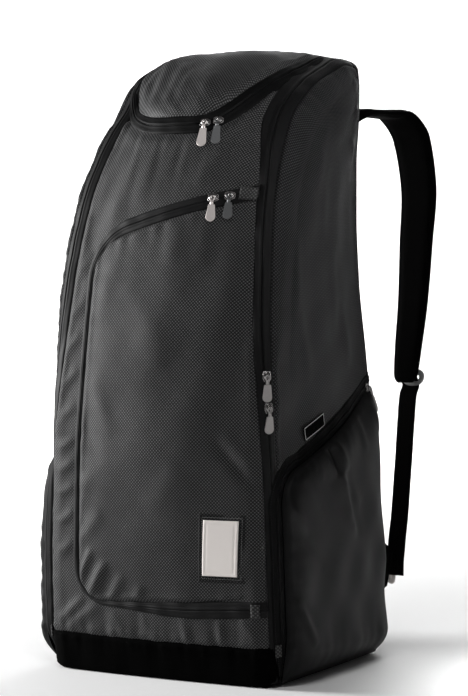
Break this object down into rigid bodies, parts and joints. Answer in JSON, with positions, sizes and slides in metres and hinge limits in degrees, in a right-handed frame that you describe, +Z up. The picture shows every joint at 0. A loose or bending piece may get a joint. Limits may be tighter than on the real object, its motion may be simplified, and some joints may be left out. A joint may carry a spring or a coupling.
{
  "type": "tennis racket bag",
  "caption": "Tall soft racket bag worn as a backpack: zipped hood, front pocket and swollen side pockets, a long zip over the top and two padded shoulder straps.",
  "frame": {"origin": "middle of the flat underside of the base", "axes": "+Z up; the front with its pocket faces -Y, the shoulder straps are behind at +Y, +X is to the right of someone who faces the front"},
  "size_m": [0.3985, 0.5335, 0.8112],
  "materials": {
    "patterned_cloth": "grey dobby weave with a dull sheen",
    "plain_cloth": "smooth dark nylon",
    "black_cloth": "matt black nylon and webbing",
    "zip_tape": "woven tape with a nylon coil",
    "pale_patch": "smooth moulded patch",
    "bright_metal": "satin plated zinc",
    "dark_metal": "dark plated zinc",
    "pale_metal": "pale plated steel"
  },
  "bodies": {
    "bag": {"base": "black_cloth", "front_panel": "patterned_cloth", "hood": "patterned_cloth", "back_panel": "black_cloth", "front_pocket": "patterned_cloth", "main_zip": "zip_tape", "hood_zip": "zip_tape", "front_pocket_zip": "zip_tape", "front_patch": "pale_patch", "side_label": "plain_cloth", "right_side_panel": "patterned_cloth", "right_side_pocket": "plain_cloth", "right_pocket_zip": "zip_tape", "right_zip_tab": "patterned_cloth", "left_side_panel": "patterned_cloth", "left_side_pocket": "plain_cloth", "left_pocket_zip": "zip_tape", "left_zip_tab": "patterned_cloth", "upper_zip_tab": "patterned_cloth", "lower_zip_tab": "patterned_cloth", "hood_left_slider": "dark_metal", "hood_right_slider": "dark_metal", "pocket_left_slider": "dark_metal", "pocket_right_slider": "dark_metal", "main_upper_slider": "dark_metal", "main_lower_slider": "dark_metal", "right_side_slider": "dark_metal", "left_side_slider": "dark_metal", "right_strap_pad": "black_cloth", "right_strap_webbing": "black_cloth", "right_strap_tab": "black_cloth", "right_strap_adjuster": "pale_metal", "right_strap_ring": "pale_metal", "left_strap_pad": "black_cloth", "left_strap_webbing": "black_cloth", "left_strap_tab": "black_cloth", "left_strap_adjuster": "pale_metal", "left_strap_ring": "pale_metal"},
    "hood_left_pull": {"hood_left_pull": "bright_metal"},
    "hood_right_pull": {"hood_right_pull": "dark_metal"},
    "pocket_left_pull": {"pocket_left_pull": "bright_metal"},
    "pocket_right_pull": {"pocket_right_pull": "dark_metal"},
    "main_upper_pull": {"main_upper_pull": "bright_metal"},
    "main_lower_pull": {"main_lower_pull": "bright_metal"},
    "right_side_pull": {"right_side_pull": "bright_metal"},
    "left_side_pull": {"left_side_pull": "bright_metal"}
  },
  "joints": [
    {"name": "hood_left_swing", "type": "hinge", "parent": "bag", "child": "hood_left_pull", "pos_m": [0.03282, -0.09113, 0.70649], "axis": [-0.981, -0.194, 0], "range_deg": [0, 120]},
    {"name": "hood_right_swing", "type": "hinge", "parent": "bag", "child": "hood_right_pull", "pos_m": [0.04922, -0.08531, 0.70911], "axis": [-0.9565, -0.2916, 0], "range_deg": [0, 120]},
    {"name": "pocket_left_swing", "type": "hinge", "parent": "bag", "child": "pocket_left_pull", "pos_m": [0.06936, -0.13441, 0.60925], "axis": [-0.9806, -0.1962, 0], "range_deg": [0, 120]},
    {"name": "pocket_right_swing", "type": "hinge", "parent": "bag", "child": "pocket_right_pull", "pos_m": [0.09063, -0.12874, 0.61179], "axis": [-0.9714, -0.2372, 0], "range_deg": [0, 120]},
    {"name": "main_upper_swing", "type": "hinge", "parent": "bag", "child": "main_upper_pull", "pos_m": [0.15829, -0.15181, 0.3877], "axis": [-0.7061, -0.7081, 0], "range_deg": [0, 120]},
    {"name": "main_lower_swing", "type": "hinge", "parent": "bag", "child": "main_lower_pull", "pos_m": [0.16159, -0.15164, 0.34849], "axis": [-0.5753, -0.818, 0], "range_deg": [0, 120]},
    {"name": "right_side_swing", "type": "hinge", "parent": "bag", "child": "right_side_pull", "pos_m": [0.1515, 0.14519, 0.35698], "axis": [0.0861, -0.9963, 0], "range_deg": [0, 120]},
    {"name": "left_side_swing", "type": "hinge", "parent": "bag", "child": "left_side_pull", "pos_m": [-0.1515, 0.14519, 0.35698], "axis": [0.0861, 0.9963, 0], "range_deg": [0, 120]}
  ]
}
